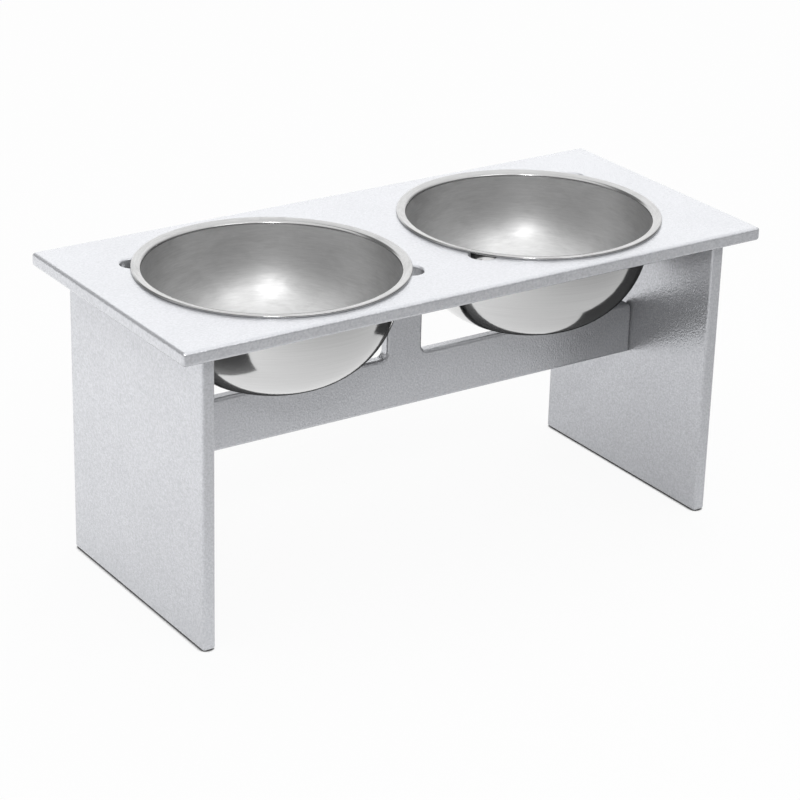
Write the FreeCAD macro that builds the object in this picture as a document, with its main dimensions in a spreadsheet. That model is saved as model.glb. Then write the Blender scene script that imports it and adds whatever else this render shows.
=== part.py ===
"""Double dog bowl stand: a top panel on two legs and a T-shaped stretcher, with two lift-out steel bowls.

Millimetres. The origin is on the floor under the middle of the stand, X runs along the length,
Y runs to the back and Z points up.
"""
import FreeCAD, Part
import Sketcher
import math
import os

# Driving dimensions, one cell each
SIZES = {
    # pressed steel bowl
    "wall_diameter": 230.0,
    "rim_width": 8.5,
    "rim_height": 2.6,
    "rim_fall": 12.0,
    "rim_hem": 3.0,
    "gauge": 0.7,
    "bend": 3.0,
    "bowl_depth": 104.9,
    "base_diameter": 50.0,
    "curve_turn": 15.0,
    # boards
    "board": 12.7,
    "edge_round": 3.2,
    "stand_height": 289.0,
    "end_margin": 42.0,
    "side_margin": 13.0,
    "leg_inset": 27.0,
    "leg_setback": 17.5,
    # holes in the top
    "bowl_clearance": 2.0,
    "notch_radius": 12.0,
    "notch_show": 9.5,
    "notch_turn": 34.0,
    "notch_blend": 5.0,
    "hole_ease": 2.6,
    # stretcher
    "post_width": 38.1,
    "post_clearance": 5.45,
    "rail_height": 50.8,
    "rail_clearance": 6.3,
    "recess_corner": 6.35,
    "rail_corner": 6.35,
    # blind dowels
    "dowel_diameter": 6.0,
    "dowel_length": 28.0,
    "dowel_chamfer": 0.8,
    "dowel_play": 0.1,
    "dowel_sink": 8.5,
    "dowel_gap": 1.0,
    "leg_dowel_pitch": 80.0,
    "post_dowel_pitch": 20.0,
    "rail_dowel_pitch": 26.0,
    # extra reach of every cut that goes right through
    "overrun": 2.0,
}

# Sizes that follow from the driving ones, as expressions on the cells
WALL_RADIUS = "Sizes.wall_diameter / 2"
RIM_RADIUS = "(Sizes.wall_diameter / 2 + Sizes.rim_width)"
BOWL_OFFSET = "(Sizes.wall_diameter + Sizes.post_width + 2 * Sizes.post_clearance) / 2"
TOP_HALF_LENGTH = f"({BOWL_OFFSET} + {RIM_RADIUS} + Sizes.end_margin)"
TOP_HALF_WIDTH = f"({RIM_RADIUS} + Sizes.side_margin)"
HOLE_RADIUS = "(Sizes.wall_diameter / 2 + Sizes.bowl_clearance)"
NOTCH_DISTANCE = f"({RIM_RADIUS} + Sizes.notch_show - Sizes.notch_radius)"
NOTCH_ALONG = f"{NOTCH_DISTANCE} * cos(Sizes.notch_turn * 1 deg)"
NOTCH_ACROSS = f"{NOTCH_DISTANCE} * sin(Sizes.notch_turn * 1 deg)"
LEG_HEIGHT = "(Sizes.stand_height - Sizes.board)"
LEG_HALF_DEPTH = f"({TOP_HALF_WIDTH} - Sizes.leg_setback)"
LEG_OUTSIDE = f"({TOP_HALF_LENGTH} - Sizes.leg_inset)"
LEG_INSIDE = f"({LEG_OUTSIDE} - Sizes.board)"
LEG_MIDDLE = f"({LEG_OUTSIDE} - Sizes.board / 2)"
RAIL_TOP = "(Sizes.stand_height - Sizes.bowl_depth - Sizes.rail_clearance)"
RAIL_BOTTOM = f"({RAIL_TOP} - Sizes.rail_height)"
RAIL_MIDDLE = f"({RAIL_TOP} - Sizes.rail_height / 2)"
DOWEL_BORE = "(Sizes.dowel_diameter + Sizes.dowel_play) / 2"
DOWEL_EDGE_DEPTH = "Sizes.dowel_length - Sizes.dowel_sink + Sizes.dowel_gap"

# The sketcher's own numbers for a curve's points, and for the sketch's origin and axes
START, END, CENTRE = range(1, 4)
X_AXIS, Y_AXIS = range(-1, -3, -1)
ORIGIN = X_AXIS
DIRECTIONS = {"x": FreeCAD.Vector(1, 0, 0), "y": FreeCAD.Vector(0, 1, 0), "z": FreeCAD.Vector(0, 0, 1)}
UP = DIRECTIONS["z"]

doc = FreeCAD.newDocument("DoubleBowlStand")


# Sheet and helpers

def make_sheet():
    sheet = doc.addObject("Spreadsheet::Sheet", "Sizes")
    for row, (name, value) in enumerate(SIZES.items(), start=1):
        sheet.set(f"A{row}", name)
        sheet.set(f"B{row}", str(value))
        sheet.setAlias(f"B{row}", name)
    doc.recompute()
    return sheet


def value(expression):
    """Number that an expression on the cells has now, for a sketch's first guess."""
    return float(FreeCAD.Units.Quantity(sheet.evalExpression(expression)).Value)


def new_body(name):
    body = doc.addObject("PartDesign::Body", name)
    body.Label = name
    return body


def new_sketch(body, name, plane, offset=None):
    """Sketch on one of the body's origin planes, moved along the plane's normal."""
    sketch = body.newObject("Sketcher::SketchObject", name)
    support = [f for f in body.Origin.OriginFeatures if f.Role == plane][0]
    sketch.AttachmentSupport = [(support, "")]
    sketch.MapMode = "FlatFace"
    if offset:
        sketch.setExpression("AttachmentOffset.Base.z", offset)
    return sketch


def bind(sketch, kind, *args):
    """Dimension whose last argument is its expression."""
    *where, expression = args
    size = math.radians(value(expression)) if kind == "Angle" else value(expression)
    index = sketch.addConstraint(Sketcher.Constraint(kind, *where, size))
    sketch.setExpression(f"Constraints[{index}]", expression)


def tie(sketch, kind, *where):
    sketch.addConstraint(Sketcher.Constraint(kind, *where))


def line(sketch, start, end):
    a, b = (FreeCAD.Vector(*point, 0) for point in (start, end))
    return sketch.addGeometry(Part.LineSegment(a, b))


def arc(sketch, centre, radius, from_degrees, to_degrees):
    circle = Part.Circle(FreeCAD.Vector(*centre, 0), UP, radius)
    return sketch.addGeometry(Part.ArcOfCircle(circle, math.radians(from_degrees), math.radians(to_degrees)))


def outline(sketch, corners):
    """Closed outline of level and upright lines through corners given as (x, y) expressions.

    An expression of "0" keeps that corner on the axis.
    """
    points = [(value(x), value(y)) for x, y in corners]
    count = len(points)
    sides = [line(sketch, points[i], points[(i + 1) % count]) for i in range(count)]
    for i, side in enumerate(sides):
        following = (i + 1) % count
        tie(sketch, "Coincident", side, END, sides[following], START)
        level = corners[i][1] == corners[following][1]
        tie(sketch, "Horizontal" if level else "Vertical", side)
        # each side's place across its own direction
        if level and corners[i][1] == "0":
            tie(sketch, "PointOnObject", side, START, X_AXIS)
        elif level:
            bind(sketch, "DistanceY", ORIGIN, START, side, START, corners[i][1])
        else:
            bind(sketch, "DistanceX", ORIGIN, START, side, START, corners[i][0])


def circles(sketch, centres, radius):
    """Circles of one radius at (x, y) expressions, where "0" means on the axis."""
    for x, y in centres:
        place = FreeCAD.Vector(value(x), value(y), 0)
        circle = sketch.addGeometry(Part.Circle(place, UP, value(radius)))
        bind(sketch, "Radius", circle, radius)
        if x == "0":
            tie(sketch, "PointOnObject", circle, CENTRE, Y_AXIS)
        else:
            bind(sketch, "DistanceX", ORIGIN, START, circle, CENTRE, x)
        if y == "0":
            tie(sketch, "PointOnObject", circle, CENTRE, X_AXIS)
        else:
            bind(sketch, "DistanceY", ORIGIN, START, circle, CENTRE, y)


def pad(body, name, sketch, length, symmetric=False):
    feature = body.newObject("PartDesign::Pad", name)
    feature.Profile = sketch
    feature.setExpression("Length", length)
    feature.SideType = "Symmetric" if symmetric else "One side"
    doc.recompute()
    return feature


def pocket(body, name, sketch, depth, upward=False):
    """Cut that must take material away."""
    before = body.Shape.Volume
    feature = body.newObject("PartDesign::Pocket", name)
    feature.Profile = sketch
    feature.setExpression("Length", depth)
    feature.Reversed = upward
    doc.recompute()
    if not body.Shape.Volume < before:
        raise RuntimeError(f"{feature.Name} cut nothing")
    return feature


def dress(body, kind, name, base, size, wanted):
    """Fillet or chamfer on the edges of base that wanted(edge) picks."""
    feature = body.newObject(f"PartDesign::{kind}", name)
    picked = [f"Edge{i}" for i, edge in enumerate(base.Shape.Edges, start=1) if wanted(edge)]
    feature.Base = (base, picked)
    feature.setExpression("Radius" if kind == "Fillet" else "Size", size)
    doc.recompute()
    return feature


def near(a, b):
    return abs(a - b) < value("Sizes.edge_round") / 100


def runs_along(edge, axis):
    """True for a straight edge along X, Y or Z."""
    if edge.Curve.TypeId != "Part::GeomLine":
        return False
    return edge.tangentAt(edge.FirstParameter).cross(DIRECTIONS[axis]).Length < 1e-6


def place(body, x=None, y=None, z=None):
    for axis, expression in (("x", x), ("y", y), ("z", z)):
        if expression:
            body.setExpression(f"Placement.Base.{axis}", expression)


def both_signs(expression):
    return (f"-1 * ({expression})", expression)


# Boards

def make_top_panel():
    body = new_body("top_panel")
    blank = new_sketch(body, "top_blank", "XY_Plane")
    left, right = both_signs(TOP_HALF_LENGTH)
    front, back = both_signs(TOP_HALF_WIDTH)
    outline(blank, [(left, front), (right, front), (right, back), (left, back)])
    slab = pad(body, "top_slab", blank, "Sizes.board")
    rounded = dress(body, "Fillet", "top_roundover", slab, "Sizes.edge_round", lambda edge: True)

    through = "Sizes.board + Sizes.overrun"
    seats = new_sketch(body, "bowl_hole_circles", "XY_Plane")
    circles(seats, [(x, "0") for x in both_signs(BOWL_OFFSET)], HOLE_RADIUS)
    pocket(body, "bowl_holes", seats, through, upward=True)

    # notches on a diagonal of each hole, the two holes mirrored about the middle
    notches = new_sketch(body, "finger_notch_circles", "XY_Plane")
    outer = f"{BOWL_OFFSET} + {NOTCH_ALONG}"
    inner = f"{BOWL_OFFSET} - {NOTCH_ALONG}"
    front_notch, back_notch = both_signs(NOTCH_ACROSS)
    centres = [(x, back_notch) for x in both_signs(outer)]
    centres += [(x, front_notch) for x in both_signs(inner)]
    circles(notches, centres, "Sizes.notch_radius")
    cut = pocket(body, "finger_notches", notches, through, upward=True)

    # the points where a notch meets its hole are blended, then all hole edges eased
    def on_hole(edge):
        box = edge.BoundBox
        inside_x = max(abs(box.XMin), abs(box.XMax)) < value(TOP_HALF_LENGTH) - value("Sizes.edge_round") * 2
        inside_y = max(abs(box.YMin), abs(box.YMax)) < value(TOP_HALF_WIDTH) - value("Sizes.edge_round") * 2
        return inside_x and inside_y

    blended = dress(body, "Fillet", "notch_blends", cut, "Sizes.notch_blend",
                    lambda edge: on_hole(edge) and runs_along(edge, "z"))
    eased = dress(body, "Fillet", "hole_easing", blended, "Sizes.hole_ease",
                  lambda edge: on_hole(edge) and near(edge.BoundBox.ZLength, 0))

    sockets = new_sketch(body, "top_dowel_circles", "XY_Plane")
    row = ("0", *both_signs("Sizes.leg_dowel_pitch"))
    spots = [(x, y) for x in both_signs(LEG_MIDDLE) for y in row]
    spots += [(x, "0") for x in both_signs("Sizes.post_dowel_pitch / 2")]
    circles(sockets, spots, DOWEL_BORE)
    pocket(body, "top_dowel_sockets", sockets, "Sizes.dowel_sink", upward=True)
    place(body, z=LEG_HEIGHT)
    return body


def make_leg(name, side):
    """Upright board whose inner face looks to the middle. side is -1 on the left and 1 on the right."""
    body = new_body(name)
    blank = new_sketch(body, f"{name}_blank", "YZ_Plane")
    front, back = both_signs(LEG_HALF_DEPTH)
    outline(blank, [(front, "0"), (back, "0"), (back, LEG_HEIGHT), (front, LEG_HEIGHT)])
    slab = pad(body, f"{name}_slab", blank, "Sizes.board")
    dress(body, "Fillet", f"{name}_roundover", slab, "Sizes.edge_round",
          lambda edge: not near(edge.BoundBox.ZMin, value(LEG_HEIGHT)))

    top_bores = new_sketch(body, f"{name}_top_circles", "XY_Plane", LEG_HEIGHT)
    row = ("0", *both_signs("Sizes.leg_dowel_pitch"))
    circles(top_bores, [("Sizes.board / 2", y) for y in row], DOWEL_BORE)
    pocket(body, f"{name}_top_bores", top_bores, DOWEL_EDGE_DEPTH)

    face_bores = new_sketch(body, f"{name}_face_circles", "YZ_Plane", "Sizes.board")
    pitch = "Sizes.rail_dowel_pitch / 2"
    circles(face_bores, [("0", f"{RAIL_MIDDLE} {sign} {pitch}") for sign in "+-"], DOWEL_BORE)
    pocket(body, f"{name}_face_bores", face_bores, "Sizes.dowel_sink")

    left, right = both_signs(LEG_OUTSIDE)
    place(body, x=left if side < 0 else right)
    if side > 0:
        body.Placement.Rotation = FreeCAD.Rotation(UP, 180)
    return body


def make_stretcher():
    body = new_body("stretcher")
    blank = new_sketch(body, "stretcher_outline", "XZ_Plane")
    left, right = both_signs(LEG_INSIDE)
    post_left, post_right = both_signs("Sizes.post_width / 2")
    outline(blank, [(left, RAIL_BOTTOM), (right, RAIL_BOTTOM), (right, RAIL_TOP), (post_right, RAIL_TOP),
                    (post_right, LEG_HEIGHT), (post_left, LEG_HEIGHT), (post_left, RAIL_TOP), (left, RAIL_TOP)])
    slab = pad(body, "stretcher_slab", blank, "Sizes.board", symmetric=True)

    def corner_at(edge, x):
        at_rail_top = near(edge.BoundBox.ZMin, value(RAIL_TOP)) and runs_along(edge, "y")
        return at_rail_top and near(abs(edge.BoundBox.XMin), value(x))

    recesses = dress(body, "Fillet", "recess_corners", slab, "Sizes.recess_corner",
                     lambda edge: corner_at(edge, "Sizes.post_width / 2"))
    corners = dress(body, "Fillet", "rail_corners", recesses, "Sizes.rail_corner",
                    lambda edge: corner_at(edge, LEG_INSIDE))

    # roundover on both faces, round the rail's corners and down its ends, but not where the post butts on the top
    def on_outline(edge):
        box = edge.BoundBox
        on_face = near(box.YLength, 0) and near(abs(box.YMin), value("Sizes.board / 2"))
        return on_face and not near(box.ZMin, value(LEG_HEIGHT))

    dress(body, "Fillet", "stretcher_roundover", corners, "Sizes.edge_round", on_outline)

    post_bores = new_sketch(body, "post_top_circles", "XY_Plane", LEG_HEIGHT)
    circles(post_bores, [(x, "0") for x in both_signs("Sizes.post_dowel_pitch / 2")], DOWEL_BORE)
    pocket(body, "post_top_bores", post_bores, DOWEL_EDGE_DEPTH)

    pitch = "Sizes.rail_dowel_pitch / 2"
    spots = [("0", f"{RAIL_MIDDLE} {sign} {pitch}") for sign in "+-"]
    for end, place_x in zip(("left", "right"), both_signs(LEG_INSIDE)):
        bores = new_sketch(body, f"{end}_end_circles", "YZ_Plane", place_x)
        circles(bores, spots, DOWEL_BORE)
        pocket(body, f"{end}_end_bores", bores, DOWEL_EDGE_DEPTH, upward=end == "left")
    return body


# Bowls

def bowl_profile(sketch):
    """Section of the pressed sheet: round wall, bend over the seat, rim that falls inwards and the hem rolled under it.

    X is the distance from the bowl's axis and Y the height over the seat.
    """
    wall, rim, depth = value(WALL_RADIUS), value(RIM_RADIUS), value("Sizes.bowl_depth")
    gauge, bend, lip = value("Sizes.gauge"), value("Sizes.bend"), value("Sizes.rim_height")
    base, turn, hem = value("Sizes.base_diameter / 2"), value("Sizes.curve_turn"), value("Sizes.rim_hem")
    fall = value("Sizes.rim_fall")

    # the bend and the rolled edge touch the same falling rim
    fall_sine, fall_cosine = math.sin(math.radians(fall)), math.cos(math.radians(fall))
    curl_x = rim - lip / 2
    bend_x = wall + bend - gauge
    bend_y = (lip / 2 * (1 + fall_cosine) - bend - (curl_x - bend_x) * fall_sine) / fall_cosine

    def on_rim(x, y, radius):
        """Point where a round of this centre and radius touches the rim."""
        return (x - radius * fall_sine, y + radius * fall_cosine)

    # the wall's curve is upright at the bend, and runs into the base curve where it has turned in
    reach, drop = wall - base, depth + bend_y
    sine, cosine = math.sin(math.radians(turn)), math.cos(math.radians(turn))
    base_curve = (reach * sine - drop * (1 - cosine)) / (sine + cosine - 1)
    wall_curve = (drop - base_curve) / sine + base_curve
    wall_centre = (wall - wall_curve, bend_y)
    base_centre = (base, base_curve - depth)
    meet = -turn

    floor_out = line(sketch, (0, -depth), (base, -depth))
    base_out = arc(sketch, base_centre, base_curve, -90, meet)
    wall_out = arc(sketch, wall_centre, wall_curve, meet, 0)
    bend_out = arc(sketch, (bend_x, bend_y), bend - gauge, 90 + fall, 180)
    rim_under = line(sketch, on_rim(bend_x, bend_y, bend - gauge), on_rim(curl_x, lip / 2, lip / 2 - gauge))
    curl_in = arc(sketch, (curl_x, lip / 2), lip / 2 - gauge, -90, 90 + fall)
    hem_top = line(sketch, (curl_x, gauge), (curl_x - hem, gauge))
    hem_end = line(sketch, (curl_x - hem, gauge), (curl_x - hem, 0))
    hem_seat = line(sketch, (curl_x - hem, 0), (curl_x, 0))
    curl_out = arc(sketch, (curl_x, lip / 2), lip / 2, -90, 90 + fall)
    rim_top = line(sketch, on_rim(bend_x, bend_y, bend), on_rim(curl_x, lip / 2, lip / 2))
    bend_in = arc(sketch, (bend_x, bend_y), bend, 90 + fall, 180)
    wall_in = arc(sketch, wall_centre, wall_curve - gauge, meet, 0)
    base_in = arc(sketch, base_centre, base_curve - gauge, -90, meet)
    floor_in = line(sketch, (base, gauge - depth), (0, gauge - depth))
    middle = line(sketch, (0, gauge - depth), (0, -depth))

    smooth = [(floor_out, END, base_out, START), (base_out, END, wall_out, START), (wall_out, END, bend_out, END),
              (bend_out, START, rim_under, START), (rim_under, END, curl_in, END), (curl_in, START, hem_top, START),
              (hem_seat, END, curl_out, START), (curl_out, END, rim_top, END), (rim_top, START, bend_in, START),
              (wall_in, START, base_in, END), (base_in, START, floor_in, START)]
    for joint in smooth:
        tie(sketch, "Tangent", *joint)
    sharp = [(hem_top, END, hem_end, START), (hem_end, END, hem_seat, START), (bend_in, END, wall_in, END),
             (floor_in, END, middle, START), (middle, END, floor_out, START)]
    for joint in sharp:
        tie(sketch, "Coincident", *joint)
    for inside, outside in ((curl_in, curl_out), (bend_out, bend_in), (wall_in, wall_out), (base_in, base_out)):
        tie(sketch, "Coincident", inside, CENTRE, outside, CENTRE)
    for level in (floor_out, hem_top, hem_seat, floor_in):
        tie(sketch, "Horizontal", level)
    tie(sketch, "Parallel", rim_under, rim_top)
    tie(sketch, "Vertical", hem_end)
    tie(sketch, "PointOnObject", floor_out, START, Y_AXIS)
    tie(sketch, "PointOnObject", floor_in, END, Y_AXIS)
    tie(sketch, "PointOnObject", hem_seat, START, X_AXIS)
    tie(sketch, "Horizontal", bend_out, CENTRE, bend_out, END)
    tie(sketch, "Horizontal", bend_in, CENTRE, bend_in, END)

    bind(sketch, "DistanceY", floor_out, START, ORIGIN, START, "Sizes.bowl_depth")
    bind(sketch, "DistanceX", floor_out, START, floor_out, END, "Sizes.base_diameter / 2")
    bind(sketch, "Angle", base_out, "90 deg - Sizes.curve_turn * 1 deg")
    bind(sketch, "DistanceX", ORIGIN, START, wall_out, END, WALL_RADIUS)
    bind(sketch, "Angle", rim_top, "Sizes.rim_fall * 1 deg")
    bind(sketch, "DistanceX", ORIGIN, START, curl_out, CENTRE, f"{RIM_RADIUS} - Sizes.rim_height / 2")
    bind(sketch, "Radius", curl_out, "Sizes.rim_height / 2")
    bind(sketch, "Radius", curl_in, "Sizes.rim_height / 2 - Sizes.gauge")
    bind(sketch, "DistanceX", hem_seat, START, hem_seat, END, "Sizes.rim_hem")
    bind(sketch, "Radius", bend_in, "Sizes.bend")


def make_bowl(name, x):
    body = new_body(name)
    section = new_sketch(body, f"{name}_section", "XZ_Plane")
    bowl_profile(section)
    turned = body.newObject("PartDesign::Revolution", f"{name}_turned")
    turned.Profile = section
    turned.ReferenceAxis = (section, ["V_Axis"])
    doc.recompute()
    place(body, x=x, z="Sizes.stand_height")
    return body


# Dowels

def make_dowel(name, x, y, z, axis=None, turn=0):
    """Pin with chamfered ends, standing on its placed point and turned about axis."""
    body = new_body(name)
    section = new_sketch(body, f"{name}_section", "XY_Plane")
    circles(section, [("0", "0")], "Sizes.dowel_diameter / 2")
    pin = pad(body, f"{name}_pin", section, "Sizes.dowel_length")
    dress(body, "Chamfer", f"{name}_ends", pin, "Sizes.dowel_chamfer",
          lambda edge: near(edge.BoundBox.ZLength, 0))
    if axis:
        body.Placement.Rotation = FreeCAD.Rotation(axis, turn)
    place(body, x, y, z)
    return body


def make_dowels():
    """Blind dowels, each seated on the end of its socket in the face that it enters."""
    dowels = []
    standing = f"{LEG_HEIGHT} + Sizes.dowel_sink - Sizes.dowel_length"
    sides = ("left", "right")
    for side, x in zip(sides, both_signs(LEG_MIDDLE)):
        for spot, y in zip(("front", "back"), both_signs("Sizes.leg_dowel_pitch")):
            dowels.append(make_dowel(f"{side}_leg_{spot}_dowel", x, y, standing))
        dowels.append(make_dowel(f"{side}_leg_middle_dowel", x, None, standing))
    for side, x in zip(sides, both_signs("Sizes.post_dowel_pitch / 2")):
        dowels.append(make_dowel(f"post_{side}_dowel", x, None, standing))
    for side, x, turn in zip(sides, both_signs(f"{LEG_INSIDE} + Sizes.dowel_sink"), (90, -90)):
        for level, sign in (("upper", "+"), ("lower", "-")):
            z = f"{RAIL_MIDDLE} {sign} Sizes.rail_dowel_pitch / 2"
            dowels.append(make_dowel(f"rail_{side}_{level}_dowel", x, None, z, DIRECTIONS["y"], turn))
    return dowels


# Assembly and files

sheet = make_sheet()
bowl_left, bowl_right = both_signs(BOWL_OFFSET)
sub_parts = [
    make_top_panel(),
    make_leg("left_leg", -1),
    make_leg("right_leg", 1),
    make_stretcher(),
    make_bowl("left_bowl", bowl_left),
    make_bowl("right_bowl", bowl_right),
    *make_dowels(),
]
doc.recompute()

for item in doc.Objects:
    if "Invalid" in item.State or "Error" in item.State:
        raise RuntimeError(f"{item.Label} failed: {item.State}")
for body in sub_parts:
    if body.Shape.isNull() or not body.Shape.isValid():
        raise RuntimeError(f"{body.Label} has no valid shape")

os.makedirs("parts", exist_ok=True)
for body in sub_parts:
    body.Shape.exportStep(f"parts/{body.Label}.step")
    print(body.Label, round(body.Shape.Volume), "mm3")
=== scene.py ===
# %% [markdown]
# This lesson dresses a double dog bowl stand: four painted boards that carry two pressed steel bowls.
# The boards come from the CAD model and keep their shape, because their rounded edges are already right.
# Blender adds what the CAD model can't hold: the paint, the polish of the steel and the light of a studio.
# We start by loading the imported model.

# %% Load the imported stand
import bpy
import bmesh
import math
from mathutils import Matrix, Vector


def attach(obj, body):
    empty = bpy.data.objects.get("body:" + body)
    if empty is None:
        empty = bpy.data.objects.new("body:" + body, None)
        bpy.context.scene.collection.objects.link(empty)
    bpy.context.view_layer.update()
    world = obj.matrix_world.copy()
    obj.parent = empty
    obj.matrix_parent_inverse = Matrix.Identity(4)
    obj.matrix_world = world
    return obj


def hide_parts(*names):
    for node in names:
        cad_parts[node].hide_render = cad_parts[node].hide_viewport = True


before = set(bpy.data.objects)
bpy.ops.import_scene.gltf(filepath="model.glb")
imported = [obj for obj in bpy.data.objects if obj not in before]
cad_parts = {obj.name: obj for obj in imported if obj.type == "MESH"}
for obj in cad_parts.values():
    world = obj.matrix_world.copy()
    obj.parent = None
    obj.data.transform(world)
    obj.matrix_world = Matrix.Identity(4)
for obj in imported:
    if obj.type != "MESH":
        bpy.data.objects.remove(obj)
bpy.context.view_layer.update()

# %% [markdown]
# The photograph was taken from the left and a little above, with a long lens.
# A camera can be aimed with a Track To constraint, but this one also leans by a degree and a half,
# so we build its three axes ourselves and hand them over as a matrix.

# %% Camera
def direction(azimuth, elevation):
    """Unit vector towards a place round the stand. Azimuth 0 is in front, and it grows to the right."""
    turn, lift = math.radians(azimuth), math.radians(elevation)
    return Vector((math.sin(turn) * math.cos(lift), -math.cos(turn) * math.cos(lift), math.sin(lift)))


view_azimuth, view_elevation, view_lean = -34.325, 23.415, 1.59
view_target, view_distance = Vector((-0.00041, -0.00098, 0.13138)), 2.46177
backward = direction(view_azimuth, view_elevation)
level_right = Vector((0, 0, 1)).cross(backward).normalized()
level_up = backward.cross(level_right)
lean = math.radians(view_lean)
right = level_right * math.cos(lean) + level_up * math.sin(lean)
up = level_up * math.cos(lean) - level_right * math.sin(lean)

camera_data = bpy.data.cameras.new("camera")
camera_data.sensor_width = 36
camera_data.lens = 119.606
camera = bpy.data.objects.new("camera", camera_data)
camera_axes = Matrix((right, up, backward)).transposed().to_4x4()
camera.matrix_world = Matrix.Translation(view_target + backward * view_distance) @ camera_axes
bpy.context.scene.collection.objects.link(camera)
bpy.context.scene.camera = camera
bpy.context.scene.view_settings.view_transform = "Standard"
print("camera at", [round(v, 3) for v in camera.matrix_world.translation])

# %% [markdown]
# Every finish in this lesson is a tree of small nodes. Each node could be made, set and linked line by line,
# but that soon fills a page. So one helper does all three, and a few short ones stand for common nodes.
# An input can be a plain value or the output of another node, and the helpers take both.

# %% Helpers for node trees
def new_material(name):
    """Material with an empty node tree, and that tree."""
    material = bpy.data.materials.new(name)
    material.use_nodes = True
    material.node_tree.nodes.clear()
    return material, material.node_tree


def add(tree, kind, inputs=None, **settings):
    """New node with its settings, and its inputs set to a value or linked to another node's output."""
    node = tree.nodes.new(f"ShaderNode{kind}")
    for name, value in settings.items():
        setattr(node, name, value)
    for name, value in (inputs or {}).items():
        if isinstance(value, bpy.types.NodeSocket):
            tree.links.new(value, node.inputs[name])
        else:
            node.inputs[name].default_value = value
    return node


def remap(tree, value, source, target, interpolation="LINEAR"):
    """Value carried from the source range to the target range, and held at its ends."""
    ends = {"From Min": source[0], "From Max": source[1], "To Min": target[0], "To Max": target[1]}
    return add(tree, "MapRange", {"Value": value, **ends}, interpolation_type=interpolation).outputs[0]


def combine(tree, operation, first, second):
    """Two values put together by a Math node."""
    return add(tree, "Math", {0: first, 1: second}, operation=operation).outputs[0]


def blend(tree, share, first, second):
    """First value where the share is 0, and second value where it is 1."""
    return add(tree, "Mix", {"Factor": share, "A": first, "B": second}, data_type="FLOAT").outputs["Result"]


def neutral(tree, level):
    """Grey colour of a level."""
    return add(tree, "CombineColor", {"Red": level, "Green": level, "Blue": level}).outputs[0]


def show(tree, shader, kind="OutputMaterial"):
    """Ends a tree: links its shader to a new output node."""
    tree.links.new(shader.outputs[0], add(tree, kind).inputs["Surface"])


print("helpers", [helper.__name__ for helper in (new_material, add, remap, combine, blend, neutral, show)])

# %% [markdown]
# The stand was shot on a plain white floor that runs on into a white background.
# White paper under strong lamps would come close, but its brightness would change with every lamp.
# So for the camera most of the floor's light is its own, and it renders white wherever the lamps stand.
# Close under the legs this light is taken away, and the paper's colour is darkened too: a painted contact
# shadow for the thin gap below a rounded edge, where the real floor goes dark. An Ambient Occlusion node
# finds that gap.
# Steel and gloss paint mirror the floor too. For them its glow is painted brighter towards the back left and
# darker in front, and the bowls and the front edges show this painted light.

# %% White floor finish
white, to_back_left, gap_reach = (1, 1, 1, 1), (-0.45, 0.85, 0), 0.006

floor_white, tree = new_material("white_floor")
path = add(tree, "LightPath").outputs
place = add(tree, "TexCoord").outputs["Object"]
back_left = add(tree, "VectorMath", {0: place, 1: to_back_left}, operation="DOT_PRODUCT").outputs["Value"]
mirrored_strength = remap(tree, back_left, (-0.8, 0.6), (0.18, 1.3), "SMOOTHSTEP")
strength = blend(tree, path["Is Glossy Ray"], 1.0, mirrored_strength)
glow = add(tree, "Emission", {"Color": white, "Strength": strength})

open_above = add(tree, "AmbientOcclusion", {"Distance": gap_reach}, samples=8).outputs["AO"]
# Painted contact shadow: the paper's colour darkens in the gap under the legs
paper = add(tree, "BsdfDiffuse", {"Color": neutral(tree, remap(tree, open_above, (0.45, 0.62), (0.1, 0.8)))})
seen = combine(tree, "MAXIMUM", path["Is Camera Ray"], path["Is Transmission Ray"])
seen_share = combine(tree, "MULTIPLY", seen, remap(tree, open_above, (0.48, 0.64), (0.0, 0.92)))
mirrored_share = combine(tree, "MULTIPLY", path["Is Glossy Ray"], 0.75)
glow_share = combine(tree, "MAXIMUM", seen_share, mirrored_share)
show(tree, add(tree, "MixShader", {0: glow_share, 1: paper.outputs[0], 2: glow.outputs[0]}))
print("white floor finish with", len(tree.nodes), "nodes")

# %% [markdown]
# The floor itself is one wide disc. A curved sweep would also do, but the room behind it is white anyway.
# It lies a hair below the feet, because two faces in one plane would flicker.

# %% White floor
def new_piece(name, mesh_builder, *materials):
    """Object at the origin whose mesh is what was built in the bmesh."""
    mesh = bpy.data.meshes.new(name)
    mesh_builder.to_mesh(mesh)
    mesh_builder.free()
    piece = bpy.data.objects.new(name, mesh)
    for material in materials:
        mesh.materials.append(material)
    bpy.context.scene.collection.objects.link(piece)
    return piece


floor_radius, floor_drop = 15, 0.0002
bm = bmesh.new()
bmesh.ops.create_circle(bm, cap_ends=True, segments=64, radius=floor_radius)
bmesh.ops.translate(bm, verts=bm.verts, vec=(0, 0, -floor_drop))
floor = new_piece("white_floor", bm, floor_white)
print("white floor", [round(v, 3) for v in floor.dimensions])

# %% [markdown]
# The room is the world. The camera sees plain white in it, and so would any glass.
# Everything else sees a bright backdrop behind the stand, a lit ceiling and a darker room near the camera.
# One corner up at the back left is nearly black: it draws the dark line along the top's rounded left end.
# Lamps could light the stand the same way, but a smooth gradient leaves no extra spots inside the bowls.

# %% Studio room
to_up_left = (-0.77, 0, 0.64)
world = bpy.data.worlds.new("studio")
bpy.context.scene.world = world
world.use_nodes = True
tree = world.node_tree
tree.nodes.clear()
compass = add(tree, "TexCoord").outputs["Generated"]
towards = add(tree, "SeparateXYZ", {0: compass}).outputs
ceiling = remap(tree, towards["Z"], (0.1, 0.85), (0.08, 1.25), "SMOOTHSTEP")
backdrop_share = remap(tree, towards["Y"], (0.05, 0.75), (0.0, 1.0), "SMOOTHSTEP")
bright_room = blend(tree, backdrop_share, ceiling, 1.34)

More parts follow.
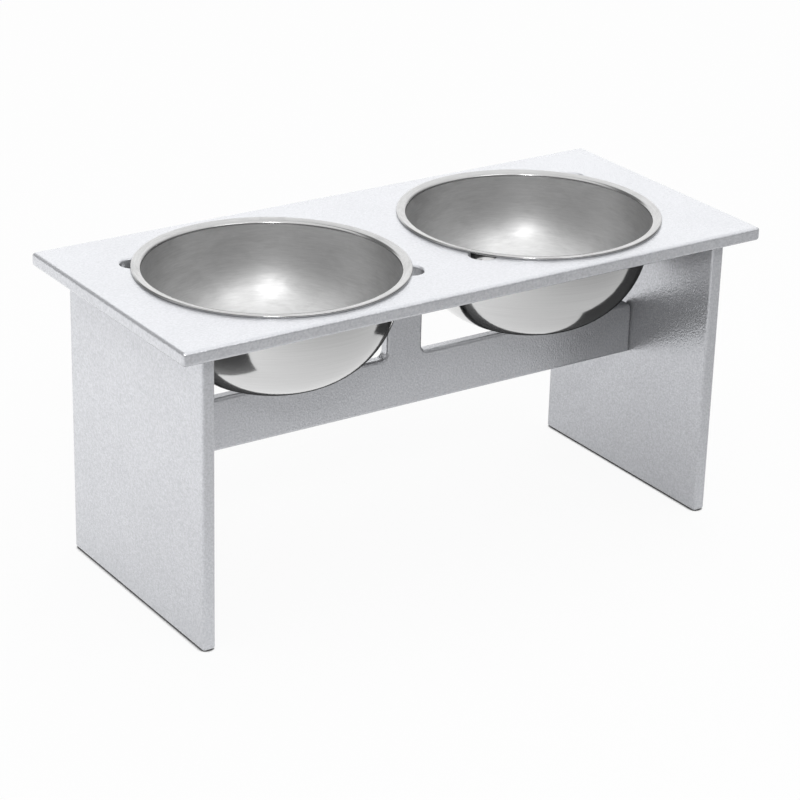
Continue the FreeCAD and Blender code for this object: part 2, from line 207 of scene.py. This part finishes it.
up_left = add(tree, "VectorMath", {0: compass, 1: to_up_left}, operation="DOT_PRODUCT").outputs["Value"]
left_share = remap(tree, up_left, (0.12, 0.42), (0.0, 0.85), "SMOOTHSTEP")
back_share = remap(tree, towards["Y"], (0.35, 0.65), (0.0, 1.0), "SMOOTHSTEP")
room = blend(tree, combine(tree, "MULTIPLY", left_share, back_share), bright_room, 0.05)

path = add(tree, "LightPath").outputs
seen = combine(tree, "MAXIMUM", path["Is Camera Ray"], path["Is Transmission Ray"])
strength = blend(tree, seen, room, 1.0)
show(tree, add(tree, "Background", {"Color": white, "Strength": strength}), "OutputWorld")
print("room with", len(tree.nodes), "nodes")

# %% [markdown]
# Two softboxes do the rest. The small one stands over the camera and leaves the hot spot inside each bowl.
# The larger and weaker one stands to its right and makes the wide glow beside the hot spot.
# Their distance counts as well: the nearer they stand, the more the spots in the two bowls move apart.

# %% Softboxes
lamp_target, lamp_distance = Vector((0, 0, 0.2)), 4


def softbox(name, azimuth, elevation, width, height, power):
    """Area light that faces the stand from a place round it."""
    data = bpy.data.lights.new(name, "AREA")
    data.shape = "RECTANGLE"
    data.size, data.size_y, data.energy = width, height, power
    lamp = bpy.data.objects.new(name, data)
    away = direction(azimuth, elevation)
    facing = away.to_track_quat("Z", "Y").to_matrix().to_4x4()
    lamp.matrix_world = Matrix.Translation(lamp_target + away * lamp_distance) @ facing
    bpy.context.scene.collection.objects.link(lamp)
    lamp.visible_camera = False


softbox("front_softbox", azimuth=-32.5, elevation=36, width=0.5, height=0.5, power=24)
softbox("front_right_softbox", azimuth=10, elevation=44, width=1.5, height=1.0, power=10)

# %% [markdown]
# The boards have a sprayed silver-grey coat with metal flakes. Up close it is not one flat grey:
# the flakes make light and dark specks about a millimetre across, and the spray leaves broad, faint clouds.
# A photographed texture could show both. Noises on Object coordinates need no picture,
# and they stay with the boards when the model is turned or exported.
# On the upper face of the top, which the light nearly bleaches, the specks are fainter.

# %% Specks of the silver coat
def noise(tree, place, scale, detail, roughness, distortion=0.0):
    """Level of a noise at a place."""
    settings = {"Scale": scale, "Detail": detail, "Roughness": roughness, "Distortion": distortion}
    return add(tree, "TexNoise", {"Vector": place, **settings}).outputs["Fac"]


noise_span, silver_tint = (0.3, 0.7), (0.985, 1.0, 1.045)
fade_start, fade_end = 0.002, 0.0005
upper_face = max(corner[2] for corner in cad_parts["top_panel"].bound_box)
face_edge = (upper_face - fade_start, upper_face - fade_end)

silver_coat, tree = new_material("silver_coat")
place = add(tree, "TexCoord").outputs["Object"]
on_top = remap(tree, add(tree, "SeparateXYZ", {0: place}).outputs["Z"], face_edge, (0.0, 1.0))
specks = noise(tree, place, scale=480, detail=2, roughness=0.6)
clouds = noise(tree, place, scale=14, detail=4, roughness=0.55)
dark_speck = blend(tree, on_top, 0.59, 0.63)
light_speck = blend(tree, on_top, 0.75, 0.71)
speck_level = remap(tree, specks, noise_span, (dark_speck, light_speck))
level = combine(tree, "MULTIPLY", speck_level, remap(tree, clouds, noise_span, (0.98, 1.02)))
silver = add(tree, "VectorMath", {0: silver_tint, "Scale": level}, operation="SCALE").outputs[0]
print("silver specks, fainter above a height of", round(face_edge[0], 4))

# %% [markdown]
# The spray dries to a low orange peel. It is far too fine to model, so a Bump node bends the light instead.
# In the photograph the boards are pale to the eye, but their sides and undersides are nearly black
# in the steel and in each other's gloss. A second set of dark boards would be a clumsy way to get that,
# so the coat's colour is painted near black for rays that come off a mirror, except on the upper face of the
# top. This is a painted dark reflection, not a colour of the paint.

# %% Silver coat on the boards
def dress(name, material):
    """Puts a material on all faces of a CAD piece."""
    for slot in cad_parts[name].material_slots:
        slot.material = material


painted_reflection_grey = (0.02, 0.02, 0.02, 1)
peel = noise(tree, place, scale=680, detail=1, roughness=0.5)
relief = add(tree, "Bump", {"Height": peel, "Strength": 0.6, "Distance": 0.0005}).outputs[0]
gloss = remap(tree, specks, noise_span, (0.22, 0.16))
# Painted dark reflection: the coat's colour goes near black for rays that come off a mirror
off_a_mirror = add(tree, "LightPath").outputs["Is Glossy Ray"]
painted_reflection_share = combine(tree, "MULTIPLY", off_a_mirror, blend(tree, on_top, 0.95, 0.0))
colour = add(tree, "Mix", {"Factor": painted_reflection_share, "A": silver, "B": painted_reflection_grey}, data_type="RGBA")
show(tree, add(tree, "BsdfPrincipled", {"Base Color": colour.outputs["Result"], "Metallic": 0.55,
                                        "Roughness": gloss, "Normal": relief}))

boards = ["top_panel", "left_leg", "right_leg", "stretcher"]
for name in boards:
    dress(name, silver_coat)
print("coated", boards)

# %% [markdown]
# The dowels sit out of sight in the joints, and show only when the stand is taken apart.
# They are beech pins: pale wood with fine grain along the pin. A picture of wood would have to be laid out
# on each pin, but one noise, stretched along the pin, gives that grain at once.

# %% Beech on the dowels
dark_beech, pale_beech = (0.46, 0.29, 0.16, 1), (0.66, 0.47, 0.29, 1)
across_grain, along_grain = 900.0, 45.0


def beech(name, axis):
    """Pale wood whose grain runs along the axis X, Y or Z."""
    wood, tree = new_material(name)
    fineness = [along_grain if axis == other else across_grain for other in "XYZ"]
    place = add(tree, "TexCoord").outputs["Object"]
    grain_place = add(tree, "Mapping", {"Vector": place, "Scale": fineness}).outputs[0]
    grain = noise(tree, grain_place, scale=1, detail=4, roughness=0.6)
    tone = add(tree, "ValToRGB", {"Fac": grain})
    dark_stop, pale_stop = tone.color_ramp.elements
    dark_stop.position, dark_stop.color = 0.35, dark_beech
    pale_stop.position, pale_stop.color = 0.65, pale_beech
    fibre = add(tree, "Bump", {"Height": grain, "Strength": 0.3, "Distance": 0.0001}).outputs[0]
    pin = add(tree, "BsdfPrincipled", {"Base Color": tone.outputs[0], "Roughness": 0.62, "Normal": fibre})
    show(tree, pin)
    return wood


upright_beech, level_beech = beech("beech_upright", "Z"), beech("beech_level", "X")
dowels = [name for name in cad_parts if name.endswith("_dowel")]
for name in dowels:
    dress(name, level_beech if name.startswith("rail") else upright_beech)
print("beech on", len(dowels), "dowels")

# %% [markdown]
# The bowls are pressed from one sheet of steel and finished on a lathe, so their marks run round them.
# A noise can be stretched round an axis: its place runs fast along the section and slowly around.
# Near the axis the stretch is eased, or the marks would meet there in a star.
# The place along the section also shifts from bowl to bowl, so that the two don't have the same marks.

# %% Places round a bowl
bowl_offset = 0.1395
bowl_axes = {"left_bowl": -bowl_offset, "right_bowl": bowl_offset}
axis_ease = 0.02


def round_the_bowl(tree, axis_x, around, along):
    """Place for a noise that is stretched round the upright axis at axis_x and fine along the section."""
    place = add(tree, "TexCoord").outputs["Object"]
    centred = add(tree, "Mapping", {"Vector": place, "Location": (-axis_x, 0, axis_x)}).outputs[0]
    flat = add(tree, "VectorMath", {0: centred, 1: (1, 1, 0)}, operation="MULTIPLY").outputs[0]
    reach = add(tree, "VectorMath", {0: flat}, operation="LENGTH").outputs["Value"]
    stretch = combine(tree, "DIVIDE", around, combine(tree, "ADD", reach, axis_ease))
    coarse = add(tree, "VectorMath", {0: flat, "Scale": stretch}, operation="SCALE").outputs[0]
    section = combine(tree, "ADD", reach, add(tree, "SeparateXYZ", {0: centred}).outputs["Z"])
    fine = add(tree, "CombineXYZ", {"Z": combine(tree, "MULTIPLY", section, along)}).outputs[0]
    return add(tree, "VectorMath", {0: coarse, 1: fine}, operation="ADD").outputs[0]


print("bowl axes", bowl_axes)

# %% [markdown]
# The inside of a bowl is satin: fine marks run round it, and some places are rubbed darker and duller.
# The rim has the same marks but is smoother, and its tones are set darker: painted shade that keeps the rim
# mid grey under the bright ceiling. One function makes both, with a tone and a blur for each.
# A picture of brushed steel would be quicker, but it would show a seam and a pinch in the middle.

# %% Satin and rim steel
def turned_steel(name, axis_x, tones, rubbed_share, blurs):
    """Steel with marks between a dark and a light tone, and a blur for clean and for rubbed metal.

    The rubbed share is what rubbed places keep of the tone.
    """
    material, tree = new_material(name)
    mark_place = round_the_bowl(tree, axis_x, around=9.0, along=520.0)
    marks = noise(tree, mark_place, scale=1, detail=4, roughness=0.7)
    patch_place = round_the_bowl(tree, axis_x, around=3.5, along=55.0)
    patches = noise(tree, patch_place, scale=1, detail=5, roughness=0.62, distortion=0.8)
    rubbed = remap(tree, patches, (0.46, 0.68), (0.0, 1.0))
    kept_tone = blend(tree, rubbed, 1.0, rubbed_share)
    tone = combine(tree, "MULTIPLY", remap(tree, marks, (0.25, 0.75), tones), kept_tone)
    blur = blend(tree, rubbed, *blurs)
    scratches = add(tree, "Bump", {"Height": marks, "Strength": 0.05, "Distance": 0.0002}).outputs[0]
    show(tree, add(tree, "BsdfPrincipled", {"Base Color": neutral(tree, tone), "Metallic": 1.0,
                                            "Roughness": blur, "Normal": scratches}))
    return material


satin_steel, shaded_rim_steel = {}, {}
for name, axis_x in bowl_axes.items():
    satin_steel[name] = turned_steel(f"{name}_satin", axis_x, tones=(0.54, 0.65), rubbed_share=0.9,
                                     blurs=(0.41, 0.45))
    # The rim's darker tones are painted shade
    shaded_rim_steel[name] = turned_steel(f"{name}_rim", axis_x, tones=(0.45, 0.54), rubbed_share=0.92,
                                   blurs=(0.19, 0.27))
print("satin and rim steel for", list(satin_steel))

# %% [markdown]
# The outside is polished like a mirror. A perfect mirror would look like chrome, so it gets a trace of blur.
# The lathe leaves faint rings, and one noise that is fine in height and slow across draws them
# in the tone and in the blur.

# %% Polished steel
polished_steel, tree = new_material("polished_steel")
place = add(tree, "TexCoord").outputs["Object"]
ring_place = add(tree, "Mapping", {"Vector": place, "Scale": (12, 12, 1400)}).outputs[0]
rings = noise(tree, ring_place, scale=1, detail=3, roughness=0.6)
tone = neutral(tree, remap(tree, rings, noise_span, (0.74, 0.8)))
blur = remap(tree, rings, noise_span, (0.08, 0.14))
show(tree, add(tree, "BsdfPrincipled", {"Base Color": tone, "Metallic": 1.0, "Roughness": blur}))
print("polished steel with", len(tree.nodes), "nodes")

# %% [markdown]
# A bowl is a turned shape, so it is drawn once as the section of its sheet and then spun.
# Its wall is two arcs that meet smoothly: a tight one above the flat base, and a wide one up to the bend.
# Their radii could be guessed until they fit, but two equations, one for each direction, give them exactly.
# Heights are measured from the seat, which is where the rim lies on the top.

# %% Sizes of a bowl
rim_radius, wall_radius, base_radius = 0.1235, 0.115, 0.025
depth, gauge, bend_radius = 0.1049, 0.0007, 0.003
lip_radius, hem_width = 0.0013, 0.003
wall_turn, rim_fall = math.radians(15), math.radians(12)

fall_x, fall_z = math.sin(rim_fall), math.cos(rim_fall)
lip_x, bend_x = rim_radius - lip_radius, wall_radius + bend_radius - gauge
bend_z = (lip_radius * (1 + fall_z) - bend_radius - (lip_x - bend_x) * fall_x) / fall_z

reach, drop = wall_radius - base_radius, depth + bend_z
sine, cosine = math.sin(wall_turn), math.cos(wall_turn)
base_curve = (reach * sine - drop * (1 - cosine)) / (sine + cosine - 1)
wall_curve = (drop - base_curve) / sine + base_curve
print("radii of the bowl's curves", round(base_curve, 4), "and", round(wall_curve, 4))

# %% [markdown]
# The section is drawn with one travelling vertex: extrude takes it along straight runs and spin along bends.
# It goes from the middle of the underside out to the rim, round the rolled hem, and back down the inside.
# A curve object could be drawn instead, but all its bends would get the same number of steps.

# %% Section of a bowl
base_steps, wall_steps, bend_steps, lip_steps, hidden_steps = 16, 20, 10, 12, 8
quarter, half = math.radians(90), math.radians(180)


def straight(bm, tip, x, z):
    """Extrudes the tip of the section to a new place and returns the new tip."""
    end = bmesh.ops.extrude_vert_indiv(bm, verts=[tip])["verts"][0]
    end.co = (x, 0, z)
    return end


def sweep(bm, tip, x, z, angle, steps):
    """Spins the tip of the section about a centre, up and to the right where the angle is positive."""
    spun = bmesh.ops.spin(bm, geom=[tip], cent=(x, 0, z), axis=(0, -1, 0), angle=angle, steps=steps,
                          use_duplicate=False)
    return [item for item in spun["geom_last"] if isinstance(item, bmesh.types.BMVert)][0]


def draw_section(bm):
    """Closed section of the sheet: the outside, the rolled rim and the inside."""
    hidden_lip = lip_radius - gauge
    tip = bm.verts.new((0, 0, -depth))
    tip = straight(bm, tip, base_radius, -depth)
    tip = sweep(bm, tip, base_radius, base_curve - depth, quarter - wall_turn, base_steps)
    tip = sweep(bm, tip, wall_radius - wall_curve, bend_z, wall_turn, wall_steps)
    tip = sweep(bm, tip, bend_x, bend_z, rim_fall - quarter, hidden_steps)

    tip = straight(bm, tip, lip_x - hidden_lip * fall_x, lip_radius + hidden_lip * fall_z)
    tip = sweep(bm, tip, lip_x, lip_radius, -half - rim_fall, hidden_steps)
    tip = straight(bm, tip, lip_x - hem_width, gauge)
    tip = straight(bm, tip, lip_x - hem_width, 0)
    tip = straight(bm, tip, lip_x, 0)
    tip = sweep(bm, tip, lip_x, lip_radius, half + rim_fall, lip_steps)

    tip = straight(bm, tip, bend_x - bend_radius * fall_x, bend_z + bend_radius * fall_z)
    tip = sweep(bm, tip, bend_x, bend_z, quarter - rim_fall, bend_steps)
    tip = sweep(bm, tip, wall_radius - wall_curve, bend_z, -wall_turn, wall_steps)
    tip = sweep(bm, tip, base_radius, base_curve - depth, wall_turn - quarter, base_steps)
    straight(bm, tip, 0, gauge - depth)


sketch = bmesh.new()
draw_section(sketch)
print("section of a bowl with", len(sketch.verts), "points")
sketch.free()

# %% [markdown]
# Spinning the section a full turn makes the bowl. A Screw modifier could do it too,
# but here the mesh is final at once, and each face can be given its finish.
# The merge option joins the last step to the first, and the two ends on the axis fold into single points
# when doubles are removed. Faces above the bend are the rim.
# Below it, those that look towards a point above the mouth are the satin inside.

# %% Two bowls
inside_slot, outside_slot, rim_slot = 0, 1, 2
rim_foot, over_mouth = -bend_radius / 2, Vector((0, 0, 0.05))
round_steps, merge_distance, crease = 180, 1e-6, math.radians(40)


def zone(face):
    """Material slot for a face of the turned sheet."""
    middle = face.calc_center_median()
    if middle.z > rim_foot:
        return rim_slot
    return inside_slot if face.normal.dot(over_mouth - middle) > 0 else outside_slot


def make_bowl(name, axis_x):
    """Bowl turned about its axis and hung in the top, in place of the CAD bowl."""
    bm = bmesh.new()
    draw_section(bm)
    bmesh.ops.spin(bm, geom=bm.verts[:] + bm.edges[:], cent=(0, 0, 0), axis=(0, 0, 1), angle=math.tau,
                   steps=round_steps, use_merge=True, use_duplicate=False)
    bmesh.ops.remove_doubles(bm, verts=bm.verts, dist=merge_distance)
    bmesh.ops.recalc_face_normals(bm, faces=bm.faces)
    for face in bm.faces:
        face.smooth = True
        face.material_index = zone(face)
    for edge in bm.edges:
        edge.smooth = len(edge.link_faces) == 2 and edge.calc_face_angle() < crease
    bmesh.ops.translate(bm, verts=bm.verts, vec=(axis_x, 0, upper_face))
    bowl = new_piece(f"{name}_turned", bm, satin_steel[name], polished_steel, shaded_rim_steel[name])
    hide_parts(name)
    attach(bowl, name)
    print(name, len(bowl.data.polygons), "faces, box", [round(v, 4) for v in bowl.dimensions])


for name, axis_x in bowl_axes.items():
    make_bowl(name, axis_x)
